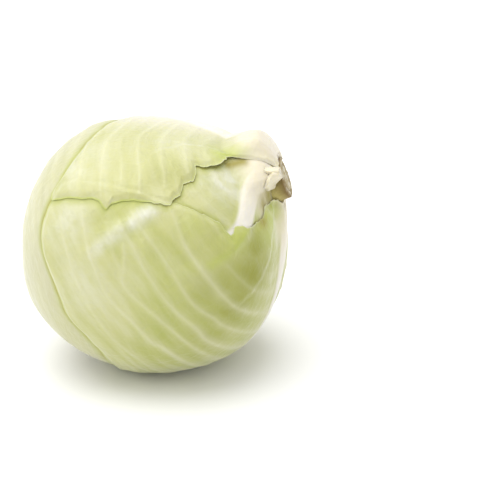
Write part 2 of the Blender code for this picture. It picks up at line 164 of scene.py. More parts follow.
# The stump: waves of its outline (how many, phase, height), rings of its cut face (radius, width, share of
# their depth), all as shares of its radius, and how deep the face lies, in mm
STUMP_GRID = 90
STUMP_SEED = 83
STUMP_WAVES = ((3, 0.6, 0.035), (5, 0.0, -0.03))
VESSEL_RING = 0.68
VESSEL_RINGS = ((VESSEL_RING, 0.05, 1.0), (0.42, 0.04, 0.7))
FACE_DEPTH = 0.35
RING_DEPTH = 0.5
FACE_RIM_DEPTH = 1.1
FACE_RIM_FROM = 0.82
FIBRE_DEPTH = 0.5
FIBRES = 40
FIBRE_HEIGHT = 0.05
FIBRE_RATE = 10.0
FIBRE_RATES = (0.3, 1.6)
FIBRE_PHASE = 6.0

# The studio is bright, so that its white ground is pure white, and the colours are darker to match.
# The lamps: name, place, size in metres and power
LIGHT = 1.3
DIM = 0.725
SKY = 0.68 * LIGHT
LAMPS = (
    ("overhead", (-0.5, 0.1, 2.4), 3.0, 43.0 * LIGHT),
    ("left", (-1.2, -0.9, 0.9), 0.9, 3.0 * LIGHT),
)
LAMPS_AIM = (0.0, 0.0, 0.08)
FLOOR_REACH = 4.0
FLOOR_WHITE = (0.9, 0.9, 0.9, 1.0)

# How far light scatters in the leaves, in red, green and blue
SCATTER_RADIUS = (1.0, 0.9, 0.35)
SCATTER_SCALE = 0.003

# How far streaks and dashes are squeezed along the veins and across them
STREAKS = (0.02, 0.11, 1.0)
DASHES = (0.045, 0.17, 1.0)

# The camera: azimuth, elevation, lens, and the size of a pixel of the 500 px frame at the head's middle
CAMERA_AZIMUTH = math.radians(5.0)
CAMERA_ELEVATION = math.radians(22.0)
CAMERA_LENS = 120.0
SENSOR = 36.0
FRAME_PX = 500
PIXEL = 0.656 * MM
HEAD_MIDDLE_PX = (156.3, 242.3)

STEM = np.array([math.cos(STEM_TILT), 0.0, math.sin(STEM_TILT)])
TOP = np.array([-math.sin(STEM_TILT), 0.0, math.cos(STEM_TILT)])
FRONT = np.array([0.0, -1.0, 0.0])
DOWN = np.array([0.0, 0.0, -1.0])
CUT_NORMAL = math.cos(CUT_SLANT) * STEM - math.sin(CUT_SLANT) * TOP


def smooth(low, high, value):
    """0 below low, 1 above high, and a smooth rise between them."""
    t = np.clip((value - low) / (high - low), 0.0, 1.0)
    return t * t * (3.0 - 2.0 * t)


def direction(theta, psi):
    """The unit vector from the head's middle at these angles, in radians."""
    theta, psi = np.asarray(theta)[..., None], np.asarray(psi)[..., None]
    return np.cos(theta) * STEM + np.sin(theta) * (np.cos(psi) * TOP + np.sin(psi) * FRONT)


def place(theta, psi):
    """The unit vector at these angles in degrees."""
    return direction(math.radians(theta), math.radians(psi))


def angles(units):
    """theta and psi of unit vectors, in radians."""
    return np.arccos(np.clip(units @ STEM, -1.0, 1.0)), np.arctan2(units @ FRONT, units @ TOP)


def angle_from(units, middle):
    """The angle in degrees between unit vectors and one place."""
    return np.degrees(np.arccos(np.clip(units @ middle, -1.0, 1.0)))


def turn(angle):
    """An angle brought between minus and plus half a turn."""
    return (angle + math.pi) % (2 * math.pi) - math.pi


# How far a line's fade reaches past its ends and into it, as shares of its length
FADE_PAST = 0.25
FADE_INTO = 0.15

# Creases in the whole head: start, end, height in mm and half width in mm
CREASES = [
    ((67, 61), (86, 63), 1.1, 4.5),
    ((84, 63), (102, 66), 0.6, 4.0),
    ((36, 92), (49, 97), 0.8, 3.5),
    ((49, 97), (70, 95), 0.9, 4.5),
    ((100, 96), (84, 104), 0.3, 6.0),
]


def beside_line(units, start, end, half_width):
    """1 on the line between two places, 0 beside it and past its ends. half_width is in mm."""
    a, b = place(*start), place(*end)
    across = np.cross(a, b)
    across /= np.linalg.norm(across)
    along = np.cross(across, a)
    length = math.atan2(b @ along, b @ a)
    at = np.arctan2(units @ along, units @ a) / length
    ends = smooth(-FADE_PAST, FADE_INTO, at) * (1.0 - smooth(1.0 - FADE_INTO, 1.0 + FADE_PAST, at))
    off = np.arcsin(np.clip(units @ across, -1.0, 1.0)) * MEAN_RADIUS / (half_width * MM)
    return ends * np.exp(-(off**2))


# Slow waves of the whole head: strength in mm, how fast each runs along X, Y and Z, and its phase
WAVES = [
    (0.35, (5.1, 2.2, -3.4), 0.4),
    (0.30, (-2.7, 6.3, 2.9), 2.1),
    (0.22, (8.3, -3.6, 5.2), 4.4),
    (0.16, (-6.2, 9.4, 7.7), 1.3),
]


def swell(units):
    """The slow unevenness of the whole head, which every layer follows."""
    total = np.full(len(units), SWELL_REST)
    for strength, rate, phase in WAVES:
        total = total + strength * MM * np.sin(units @ np.array(rate) + phase)
    for start, end, height, half_width in CREASES:
        total = total + height * MM * beside_line(units, start, end, half_width)
    return total


def flat_radius(units, normal, height):
    """Where rays from the head's middle meet the plane at this height along its normal."""
    return height / np.maximum(units @ normal, LEAST_COSINE)


def heart_radius(units):
    """The heart's surface, with a flat seat for the stump and a flat spot underneath."""
    scaled = np.abs(units) / np.where(units < 0, HEART_LOW, HEART_HIGH)
    radius = (scaled**SQUARENESS).sum(-1) ** (-1.0 / SQUARENESS)
    for rise, middle, spread in RISES:
        radius = radius + rise * MM * np.exp(-((angle_from(units, place(*middle)) / spread) ** 2))
    radius = radius + swell(units)
    seat = flat_radius(units, STEM, SEAT_HEIGHT)
    spot = flat_radius(units, DOWN, HEART_LOW[2] - FLAT_DEPTH)
    return np.minimum(radius, np.minimum(seat, spot))


def cut_radius(units):
    """Where the knife went through the stem and the bases of the leaves."""
    return flat_radius(units, CUT_NORMAL, CUT_HEIGHT)


def soft_least(first, second, width):
    """The smaller of two radii, rounded off where they meet."""
    near = np.maximum(1.0 - np.abs(first - second) / width, 0.0)
    return np.minimum(first, second) - 0.25 * width * near**2


class Leaf:
    """One leaf or leaf stub. Places are theta and psi in degrees.

    centre is the place that its outline is drawn round, and outline is a list of places on its margin.
    rib is the midrib's psi at the stem, its psi further out, and the theta where it gets there. rib_scale
    and rib_width multiply its height and width. knob is a swollen petiole: its reach in mm, its psi, the
    thetas where it starts to fall away and ends, and its half width in psi. lift is a margin that curls
    up: how far in mm, the theta and psi of its middle, its spread in degrees, and how far it runs into the
    leaf in mm. torn lists places where the margin is torn. paths are set veins, which take the place of
    random ones on the midrib's shown_side, and vein_strength multiplies the others. patches colour spots:
    kind, theta, psi, spread in degrees, strength. bands colour lines: kind, start, end, half width in mm,
    strength. seed is for the random draws, and grid is the number of faces across the leaf's net.
    """

    def __init__(
        self, name, seed, centre, rib, outline, grid, rib_scale=1.0, rib_width=1.0, veined=True, knob=None,
        lift=None, torn=(), shown_side=0, paths=(), vein_strength=1.0, patches=(), bands=(),
    ):
        self.name = name
        self.seed = seed
        self.grid = grid
        self.rib_start, self.rib_end, self.rib_bend = (math.radians(a) for a in rib)
        self.rib_scale = rib_scale
        self.rib_width = rib_width
        self.shown_side = shown_side
        self.paths = paths
        self.vein_strength = vein_strength
        self.patches = patches
        self.bands = bands
        self.veined = veined
        self.knob = knob
        self.lift = lift
        self.torn_places = [place(*t) for t in torn]
        self.theta, psi = math.radians(centre[0]), math.radians(centre[1])
        self.middle = direction(self.theta, psi)
        outward = math.cos(psi) * TOP + math.sin(psi) * FRONT
        self.along = math.cos(self.theta) * outward - math.sin(self.theta) * STEM
        self.across = math.cos(psi) * FRONT - math.sin(psi) * TOP
        self.fit_outline(outline)
        self.cut_margin()

    def fit_outline(self, outline):
        """Fits a smooth closed curve to the outline: its bearings, its reaches and their slopes."""
        x, y = self.flatten(direction(*np.radians(outline).T)).T
        bearing = np.arctan2(y, x)
        order = np.argsort(bearing)
        self.knots = np.concatenate([bearing[order] + lap * 2 * math.pi for lap in (-1, 0, 1)])
        self.values = np.tile(np.hypot(x, y)[order], 3)
        self.steps = np.diff(self.knots)
        slope = np.diff(self.values) / self.steps
        rising = slope[:-1] * slope[1:] > 0
        mean = 2 * slope[:-1] * slope[1:] / np.where(rising, slope[:-1] + slope[1:], 1.0)
        self.slopes = np.pad(np.where(rising, mean, 0.0), 1)

    def flatten(self, units):
        """Places in the leaf's own plane, in metres: x runs along the leaf to its tip, and y across it."""
        x, y = units @ self.along, units @ self.across
        length = np.hypot(x, y)
        scale = np.arctan2(length, units @ self.middle) * MEAN_RADIUS / np.maximum(length, 1e-9)
        return np.stack([x * scale, y * scale], -1)

    def wrap(self, flat):
        """Unit vectors of places in the leaf's own plane."""
        length = np.hypot(flat[..., 0], flat[..., 1])
        angle = length / MEAN_RADIUS
        scale = np.sin(angle) / np.maximum(length, 1e-9)
        level = flat[..., :1] * self.along + flat[..., 1:] * self.across
        return np.cos(angle)[..., None] * self.middle + scale[..., None] * level

    def smooth_reach(self, bearing):
        """The outline's plain curve, from the leaf's centre at each bearing."""
        i = np.clip(np.searchsorted(self.knots, bearing) - 1, 0, len(self.steps) - 1)
        t = (bearing - self.knots[i]) / self.steps[i]
        return (
            (1 + 2 * t) * (1 - t) ** 2 * self.values[i]
            + t * (1 - t) ** 2 * self.steps[i] * self.slopes[i]
            + t * t * (3 - 2 * t) * self.values[i + 1]
            + t * t * (t - 1) * self.steps[i] * self.slopes[i + 1]
        )

    def cut_margin(self):
        """Works out the fine margin: slow waves all round, and tears where the leaf is torn."""
        rng = np.random.default_rng(self.seed)
        bearing = np.linspace(-math.pi, math.pi, MARGIN_STEPS)
        reach = self.smooth_reach(bearing)
        step = np.hypot(np.diff(reach), np.diff(bearing) * reach[1:])
        run = np.concatenate([[0.0], np.cumsum(step)])
        lap = run[-1]
        wave = np.zeros(len(run))
        for count, height in MARGIN_WAVES:
            wave += height * MM * np.sin(2 * math.pi * count * run / lap + rng.uniform(0, MARGIN_PHASE))
        jags = np.zeros(len(run))
        for spacing, height in MARGIN_TEARS:
            knots = np.arange(0.0, lap + spacing, spacing)
            heights = rng.uniform(-1.0, 1.0, len(knots)) * height * MM
            knots = knots + rng.uniform(-TEAR_JITTER, TEAR_JITTER, len(knots)) * spacing
            jags += np.interp(run, knots, heights)
        flat = reach[:, None] * np.stack([np.cos(bearing), np.sin(bearing)], -1)
        torn = self.torn(self.wrap(flat))
        self.fine_bearing = bearing
        self.fine_change = wave * (1.0 - torn) + jags * torn

    def torn(self, units):
        """1 where the leaf is torn, falling to 0 away from there."""
        share = np.zeros(len(units))
        for middle in self.torn_places:
            share = np.maximum(share, 1.0 - smooth(TEAR_FADES, TEAR_ENDS, angle_from(units, middle)))
        return share

    def patch(self, units, kind):
        """How strong one kind of coloured patch or band is at each place."""
        share = np.zeros(len(units))
        for name, start, end, half_width, strength in self.bands:
            if name == kind:
                share = np.maximum(share, strength * beside_line(units, start, end, half_width))
        for name, theta, psi, spread, strength in self.patches:
            if name == kind:
                near = np.exp(-((angle_from(units, place(theta, psi)) / spread) ** 2))
                share = np.maximum(share, strength * near)
        return share

    def outline_reach(self, bearing, fine=1.0):
        """How far the margin is from the leaf's centre at each bearing. It stops short of the stump."""
        change = np.interp(bearing, self.fine_bearing, self.fine_change)
        reach = self.smooth_reach(bearing) + fine * change
        near, side = math.cos(self.theta), -math.sin(self.theta) * np.cos(bearing)
        share = math.cos(LEAF_BASE_ANGLE) / np.hypot(near, side)
        stump = np.arctan2(side, near) - np.arccos(np.clip(share, -1.0, 1.0))
        stump = np.where((share < 1.0) & (stump > 0), stump, math.pi) * MEAN_RADIUS
        return np.minimum(reach, stump)

    def inside(self, units):
        """How far inside the margin a place is, in metres; negative outside."""
        x, y = self.flatten(units).T
        return self.outline_reach(np.arctan2(y, x)) - np.hypot(x, y)

    def rib_psi(self, theta):
        """The midrib's place round the stem."""
        bent = smooth(LEAF_BASE_ANGLE, self.rib_bend, theta)
        return self.rib_start + (self.rib_end - self.rib_start) * bent

    def rib_half_width(self, theta):
        """Half the midrib's width, in metres, which narrows away from the stem."""
        fade = np.exp(-(theta - LEAF_BASE_ANGLE) / RIB_FADE)
        width = RIB_THIN + (RIB_WIDE - RIB_THIN) * fade
        return width * self.rib_width

    def rib_share(self, theta, psi):
        """1 on the midrib's top, falling to 0 at its feet."""
        side = np.abs(turn(psi - self.rib_psi(theta))) * np.sin(theta) * MEAN_RADIUS
        return 1.0 - smooth(RIB_TOP, 1.0, side / self.rib_half_width(theta))

    def rib_height(self, theta, psi):
        """The midrib's rise over the blade."""
        crest = RIB_HEIGHT * np.exp(-(theta - LEAF_BASE_ANGLE) / RIB_FADE) * self.rib_scale
        return crest * self.rib_share(theta, psi)

    def knob_share(self, theta, psi):
        """1 on the swollen petiole, falling to 0 beside it and away from the stem."""
        if not self.knob:
            return np.zeros(len(theta))
        _, middle, start, end, half_turn = self.knob
        beside = np.degrees(np.abs(turn(psi - math.radians(middle))))
        near = 1.0 - smooth(start, end, np.degrees(theta))
        return near * (1.0 - smooth(KNOB_TOP * half_turn, half_turn, beside))

    def swollen(self, outer, theta, psi):
        """The outer surface, raised beside the stem where the leaf has a swollen petiole."""
        if not self.knob:
            return outer
        return outer + self.knob_share(theta, psi) * np.maximum(self.knob[0] * MM - outer, 0.0)

    def lifted(self, units, depth):
        """How far the leaf stands off what is under it, where its margin curls up or is torn."""
        inwards = np.maximum(depth, 0.0)
        rise = RIM_LIFT * np.exp(-inwards / RIM_LIFT_RUN)
        rise = rise + TORN_LIFT * self.torn(units) * np.exp(-inwards / TORN_LIFT_RUN)
        if self.lift:
            height, theta, psi, spread, run = self.lift
            near = np.exp(-((angle_from(units, place(theta, psi)) / spread) ** 2))
            rise = rise + height * MM * near * np.exp(-inwards / (run * MM))
        return rise

    def layers(self, units, under):
        """The leaf's inner and outer radius over what is under it, and how far inside its margin it is."""
        theta, psi = angles(units)
        depth = self.inside(units)
        inside = smooth(0.0, RIM_RUN, depth)
        rim = 1.0
        if self.knob:
            rim = COLLAR_RIM + (1.0 - COLLAR_RIM) * smooth(COLLAR_START, COLLAR_END, theta)
        rim_gap, rim_blade = RIM_GAP * rim, RIM_BLADE * rim
        inner = under + GAP * (rim_gap + (1.0 - rim_gap) * inside) + rim * self.lifted(units, depth)
        blade = BLADE * (rim_blade + (1.0 - rim_blade) * inside)
        outer = self.swollen(inner + blade + self.rib_height(theta, psi), theta, psi)
        return inner, outer, depth

    def veins(self, units):
        """The side veins: their relief as a share of full height, their colour, and the way they run."""
        theta, psi = angles(units)
        rng = np.random.default_rng(self.seed + VEIN_SEEDS)
        swing = turn(psi - self.rib_psi(theta))
        away = np.abs(swing)
        across = theta - VEIN_RISE * (1.0 - np.exp(-away / VEIN_TURN)) - VEIN_SLOPE * away
        for size, by_swing, by_theta in VEIN_WOBBLES:
            phase = rng.uniform(0, VEIN_PHASE)
            across = across + math.radians(size) * np.sin(by_swing * swing + by_theta * theta + phase)
        along = away * np.sin(theta) * MEAN_RADIUS
        share = np.clip(along / VEIN_LENGTH, 0.0, VEIN_LONGEST)
        height = self.vein_strength * (1.0 - VEIN_FADE * share**VEIN_FADE_POWER)
        width = VEIN_WIDE + (VEIN_THIN - VEIN_WIDE) * np.clip(share, 0.0, 1.0)
        relief = np.zeros(len(units))
        colour = np.zeros(len(units))

        def add(off, strength):
            """Adds a vein, given how far off it each place is, as a share of its half width."""
            np.maximum(relief, strength * (1.0 - smooth(0.0, 1.0, off)), out=relief)
            soft = 0.5 * np.exp(-((off / VEIN_CORE) ** 2)) + 0.5 * np.exp(-((off / VEIN_HALO) ** 2))
            np.maximum(colour, strength * soft, out=colour)

        for side, first in ((-1.0, VEIN_FIRST), (1.0, VEIN_FIRST + VEIN_SPACING / 2)):
            here = (np.sign(swing) == side).astype(float)
            for start in np.arange(first, VEIN_LAST, VEIN_SPACING):
                if self.paths and side == self.shown_side and start < PATHS_END:
                    continue
                start = start + rng.uniform(-VEIN_JITTER, VEIN_JITTER) * VEIN_SPACING
                add(np.abs(across - start) * MEAN_RADIUS / width, height * here)
                for _ in range(FORKS):
                    leaves_at = math.radians(rng.uniform(*FORK_STARTS))
                    run = math.radians(rng.uniform(*FORK_RUNS))
                    shift = rng.choice(FORK_SHIFTS) * VEIN_SPACING
                    begun = smooth(leaves_at - FORK_EARLY, leaves_at + FORK_LATE, away)
                    fork = start + shift * smooth(leaves_at, leaves_at + run, away)
                    add(np.abs(across - fork) * MEAN_RADIUS / width, FORK_HEIGHT * height * here * begun)
        flat = self.flatten(units)
        for strength, path in self.paths:
            off, at = self.path_distance(flat, path)
            width = VEIN_WIDE + (VEIN_THIN - VEIN_WIDE) * at
            add(off / width, strength * (1.0 - PATH_FADE * at))
        apart = np.full(len(units), self.seed * FLOW_APART)
        flow = np.stack([np.sign(swing) * along, across * MEAN_RADIUS, apart], -1)
        return relief, colour, flow

    def path_distance(self, flat, path):
        """How far each point is from a smooth curve through places on the leaf, and the share along it."""
        knots = self.flatten(direction(*np.radians(path).T))
        padded = np.concatenate([2 * knots[:1] - knots[1:2], knots, 2 * knots[-1:] - knots[-2:-1]])
        curve = []
        for i in range(len(knots) - 1):
            a, b, c, d = padded[i : i + 4]
            for t in np.arange(PATH_STEPS) / PATH_STEPS:
                bend = (2 * a - 5 * b + 4 * c - d) * t * t + (3 * b - 3 * c + d - a) * t**3
                curve.append(0.5 * (2 * b + (c - a) * t + bend))
        curve.append(knots[-1])
        off = np.full(len(flat), 1.0)
        at = np.zeros(len(flat))
        for i, (a, b) in enumerate(zip(curve[:-1], curve[1:])):
            t = np.clip((flat - a) @ (b - a) / ((b - a) @ (b - a)), 0.0, 1.0)
            away = np.linalg.norm(flat - a - t[:, None] * (b - a), axis=1)
            nearer = away < off
            off = np.where(nearer, away, off)
            at = np.where(nearer, (i + t) / (len(curve) - 1), at)
        return off, at


# The veins of the shown side, from the midrib to the margin, each with its strength and its places
FRONT_PATHS = [
    (0.5, [(45, 160), (50, 128), (52, 112), (53, 100)]),
    (0.9, [(55, 160), (59, 130), (61, 119), (62, 102), (63, 83), (62, 66), (61, 60)]),
    (0.9, [(64, 160), (69, 127), (70, 118), (73, 104), (73, 83), (75, 70), (77, 58)]),
    (1.0, [(73, 160), (78, 128), (78, 118), (81, 101), (82, 84), (82, 71), (83, 60)]),
    (0.9, [(82, 160), (85, 121), (86, 114), (89, 101), (93, 89), (93, 83), (89, 77), (85, 70)]),
    (0.5, [(94, 86), (91, 78), (91, 72), (89, 66), (88, 58)]),
    (1.0, [(90, 160), (94, 121), (97, 114), (99, 100), (102, 87), (101, 73), (98, 58), (95, 46)]),
    (0.5, [(102, 78), (103, 63), (103, 57), (102, 50)]),
    (0.8, [(104, 160), (108, 122), (111, 109), (112, 97), (112, 86), (110, 68), (107, 53), (105, 44)]),
]
TOP_PATHS = [
    (0.4, [(33, -18), (36, 12), (38, 28), (38, 40)]),
    (0.6, [(42, -21), (46, 15), (48, 38), (49, 47)]),
    (0.7, [(51, -21), (56, 15), (58, 36), (59, 46), (61, 53)]),
    (0.9, [(58, -22), (65, 8), (67, 20), (68, 35), (69, 43), (71, 52)]),
    (0.5, [(66, -22), (73, 10), (75, 21), (75, 31), (77, 45)]),
    (0.9, [(72, -22), (79, 10), (82, 23), (84, 35), (86, 47)]),
    (0.8, [(84, -4), (90, 15), (93, 29), (95, 42)]),
]

# What a patch or a band does to the colour. Olive is painted shade, deep green is partly painted shade,
# bright green is partly painted light, pale is partly a painted highlight along creases, and the top line is
# a pale midrib with a painted highlight.
PATCH_KINDS = ("olive_shade", "deep", "bright", "pale", "pale_rib_and_highlight")

# From the innermost leaf to the outermost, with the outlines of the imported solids
LEAVES = [
    Leaf(
        "lower_back_leaf", seed=11, centre=(70, 222), rib=(226, 216, 110), grid=140,
        outline=[
            (9, 182), (20, 176), (36, 174), (52, 176), (68, 182), (84, 190), (100, 198), (114, 205),
            (126, 214), (132, 230), (126, 248), (113, 259), (96, 266), (78, 270), (60, 270), (42, 268),
            (26, 266), (14, 268), (9, 272), (2, 226),
        ],
    ),
    Leaf(
        "ribbed_leaf", seed=23, centre=(46, 82), rib=(52, 92, 42), grid=170,
        rib_scale=0.95, rib_width=2.0, vein_strength=0.25, knob=(98.5, 40, 13, 30, 38),
        # The olive spots are painted shade in the recess beside the midrib
        patches=[("olive_shade", 12, 92, 5.5, 1), ("olive_shade", 19, 92, 4.5, 0.9), ("pale", 34, 58, 9, 0.8)],
        # Painted shade: an olive pocket and a deeper green line under the curled margin of the top leaf
        bands=[("olive_shade", (22, 36.5), (30, 39.5), 3.8, 1), ("deep", (29, 38), (38, 45), 3.5, 0.45)],
        outline=[
            (9, 26), (18, 24), (28, 20), (38, 18), (50, 20), (62, 28), (72, 42), (79, 60), (81, 80),
            (77, 100), (68, 116), (56, 126), (42, 129), (28, 127), (17, 122), (9, 116), (2, 72),
        ],
    ),
    Leaf(
        "back_leaf", seed=31, centre=(72, 296), rib=(300, 290, 110), grid=160,
        outline=[
            (9, 258), (20, 252), (34, 246), (50, 241), (66, 239), (84, 240), (102, 244), (118, 252),
            (129, 266), (134, 283), (130, 300), (121, 313), (109, 323), (96, 330), (84, 336), (72, 341),
            (58, 345), (42, 345), (28, 340), (17, 334), (9, 330), (2, 298),
        ],
    ),
    Leaf(
        "front_leaf", seed=47, centre=(72, 138), rib=(160, 160, 60), rib_width=2.1, grid=210,
        torn=[(55, 66), (50, 73), (45, 80), (41, 88), (34, 97), (27, 99), (20, 99), (14, 103)],
        shown_side=-1, paths=FRONT_PATHS,
        patches=[
            # Deep green patches are painted shade on the side turned from the light, partly deeper green
            # leaf; the olive spot is painted shade
            ("deep", 38, 108, 8, 0.9), ("deep", 47, 118, 13, 1), ("deep", 60, 122, 13, 0.8),
            ("deep", 76, 126, 14, 0.45), ("deep", 58, 109, 8.5, 0.6), ("deep", 65, 105, 9, 0.55),
            ("deep", 56, 100, 16, 0.15), ("bright", 80, 58, 13, 0.3), ("bright", 44, 93, 6, 0.6),
            ("bright", 15, 106, 9, 1), ("bright", 23, 108, 9, 1), ("bright", 72, 84, 22, 0.15),
            ("bright", 58, 74, 7, 0.35), ("olive_shade", 27, 100, 3, 0.9), ("pale", 104, 50, 9, 0.5),
            ("pale", 110, 78, 12, 0.3),
        ],
        bands=[
            # Pale: a painted highlight along creases; bright: painted light on the lit side of a crease;
            # deep: partly painted shade
            ("pale", (67, 60), (80, 63), 5, 1), ("pale", (82, 63), (100, 67), 4.5, 0.6),
            ("bright", (37, 92), (48, 96.5), 3.2, 0.8), ("bright", (48, 96.5), (60, 95), 3.5, 0.6),
            ("deep", (78, 58), (102, 52), 5, 0.2),
        ],
        outline=[
            (9, 119), (12, 104), (17, 96), (20.5, 95.5), (24, 98.5), (28, 98), (32, 95), (36, 93), (41, 87),
            (45, 89), (46, 80), (51, 72), (55, 66), (63, 58), (74, 48), (88, 38), (101, 32), (111, 38),
            (118, 46), (122, 60), (124, 74), (126, 88), (124, 102), (123, 116), (125, 128), (130, 141),
            (137, 154), (142, 168), (143, 182), (138, 195), (128, 205), (114, 212), (98, 215), (80, 215),
            (60, 212), (42, 207), (26, 202), (15, 200), (9, 200), (2, 165),
        ],
    ),
    Leaf(
        "front_petiole_stub", seed=53, centre=(13, 66), rib=(66, 66, 30), grid=50,
        rib_scale=0.9, rib_width=0.9, veined=False,
        torn=[(15, 60), (15, 72), (15, 84)],
        outline=[
            (9, 49), (13, 48), (16, 50), (17.5, 55), (16, 60), (18, 66), (18, 72), (15, 75), (12, 79),
            (9, 83), (4, 66),
        ],
    ),
    Leaf(
        "back_petiole_stub", seed=61, centre=(19, 262), rib=(262, 262, 30), grid=80,
        veined=False,
        torn=[(28, 252), (30, 262), (29, 272)],
        outline=[
            (9, 232), (15, 240), (23, 246), (29, 251), (28, 258), (32, 263), (30, 270), (30, 276),
            (22, 280), (14, 284), (9, 290), (3, 262),
        ],
    ),
    Leaf(
        "top_leaf", seed=71, centre=(58, 14), rib=(-20, -22, 60), grid=210,
        rib_scale=1.3, rib_width=1.6, knob=(102.2, -22, 19, 29.5, 61), lift=(2.6, 33, 38, 7.5, 7),
        torn=[(62, 61), (57, 58), (54, 56), (49, 52), (44, 45), (39, 44), (33, 42), (28, 37)],
        shown_side=1, paths=TOP_PATHS,
        patches=[
            ("bright", 30, 31, 6.5, 1), ("deep", 52, 46, 7, 0.3), ("deep", 71, 50, 8, 0.3),
            ("deep", 60, 46, 9, 0.4), ("deep", 70, 30, 34, 0.15), ("pale", 48, 20, 9, 0.35),
            ("pale", 95, 27, 11, 0.4), ("pale", 85, 21, 9, 0.3),
        ],
        # A pale midrib along the top, with a painted highlight over it
        bands=[("pale_rib_and_highlight", (30, -30), (105, -20), 24, 0.75)],
        outline=[
            (9, -52), (20, -50), (34, -56), (48, -60), (60, -54), (69, -42), (76, -27), (82, -12),
            (88, 4), (94, 16), (101, 27), (108, 36), (101, 41), (95, 44), (88, 48), (86, 53), (83, 51.5),
            (78, 53), (70, 57), (62, 62), (59, 60), (56, 58), (52, 53), (49, 53), (46, 49), (44.5, 43),
            (41, 44), (37, 43.5), (33.1, 40.7), (30.6, 37), (28.4, 33.7), (26, 32.5), (22.4, 34.7),
            (18.4, 37.7), (14, 41.8), (9, 45), (2, 0),
        ],
    ),
]
LOWEST_LEAF = [leaf.name for leaf in LEAVES].index("front_leaf")


def stack(units, number):
    """The radius on which leaf number lies: over the heart and every leaf before it."""
    radius = heart_radius(units)
    theta, _ = angles(units)
    climb = np.minimum(DRAPE, STEM_DRAPE * theta * MEAN_RADIUS)
    begun = smooth(VEIN_ROOM_FROM, VEIN_FIRST, theta)
    for leaf in LEAVES[:number]:
        _, outer, depth = leaf.layers(units, radius)
        crest = outer + (VEIN_ROOM * begun if leaf.veined else 0.0)
        radius = radius + smooth(-climb, -BLADE, depth) * (crest - radius)
    return radius


def resting_height():
    """The height of the head's middle: the lowest leaf is pressed a little flat, straight down."""
    units = DOWN[None]
    _, outer, _ = LEAVES[LOWEST_LEAF].layers(units, stack(units, LOWEST_LEAF))
    return float(outer[0]) - FLAT_PRESS


MIDDLE = np.array([0.0, 0.0, resting_height()])


def disc_grid(count):
    """A square net bent into a disc: the radius and bearing of its points, its faces and its margin."""
    line = np.linspace(-1.0, 1.0, count + 1)
    a, b = (g.ravel() for g in np.meshgrid(line, line, indexing="ij"))
    wide = np.abs(a) > np.abs(b)
    radius = np.where(wide, a, b)
    safe_a, safe_b = np.where(a == 0, 1.0, a), np.where(b == 0, 1.0, b)
    bearing = np.where(wide, math.pi / 4 * b / safe_a, math.pi / 2 - math.pi / 4 * a / safe_b)
    bearing = np.where(radius < 0, bearing + math.pi, bearing)
    index = np.arange((count + 1) ** 2).reshape(count + 1, count + 1)
    corners = [index[:-1, :-1], index[1:, :-1], index[1:, 1:], index[:-1, 1:]]
    faces = np.stack([c.ravel() for c in corners], -1)
    margin = np.concatenate([index[:-1, 0], index[-1, :-1], index[:0:-1, -1], index[0, :0:-1]])
    return np.abs(radius), turn(bearing), faces, margin


def new_mesh(name, points, faces, values):
    """A smooth mesh with a number or a vector at each point for its finish."""
    mesh = bpy.data.meshes.new(name)
    mesh.from_pydata(points.tolist(), [], faces)
    for key, data in values.items():
        kind = "FLOAT_VECTOR" if data.ndim == 2 else "FLOAT"
        layer = mesh.attributes.new(key, kind, "POINT")
        layer.data.foreach_set("vector" if data.ndim == 2 else "value", data.astype(np.float32).ravel())
    mesh.shade_smooth()
    mesh.set_sharp_from_angle(angle=SHARP_ANGLE)
    obj = bpy.data.objects.new(name, mesh)
    bpy.context.scene.collection.objects.link(obj)
    return obj


def shell(units, outer, inner, faces, margin):
    """The closed surface between two radii over one net: its points, and its faces, which look out."""
    count = len(units)
    points = np.concatenate([units * outer[:, None], units * inner[:, None]]) + MIDDLE
    after = np.roll(margin, -1)
    sides = np.stack([after, margin, margin + count, after + count], -1)
    first, second, third = points[faces[0, :3]]
    if np.cross(second - first, third - first) @ units[0] < 0:
        faces = faces[:, ::-1]
        sides = sides[:, ::-1]
    return points, np.concatenate([faces, faces[:, ::-1] + count, sides]).tolist()


def add_piece(obj, node, material):
    """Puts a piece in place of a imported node."""
    obj.data.materials.append(material)
    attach(obj, "root")
    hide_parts(node)


def leaf_points(leaf):
    """The leaf's net: unit vectors, faces and margin, with its fine margin only near its edge."""
    radius, bearing, faces, margin = disc_grid(leaf.grid)
    plain = leaf.outline_reach(bearing, fine=0.0)
    fine = leaf.outline_reach(bearing)
    reach = radius * (plain + (fine - plain) * smooth(MARGIN_FROM, 1.0, radius))
    flat = reach[:, None] * np.stack([np.cos(bearing), np.sin(bearing)], -1)
    return leaf.wrap(flat), faces, margin


def outside(units, number):
    """How far the nearest margin of the leaves over this one is, in mm, and how torn it is there."""
    away = np.full(len(units), 1.0)
    torn = np.zeros(len(units))
    for leaf in LEAVES[number + 1 :]:
        off = np.abs(leaf.inside(units))
        torn = np.where(off < away, leaf.torn(units), torn)
        away = np.minimum(away, off)
    return away / MM, torn


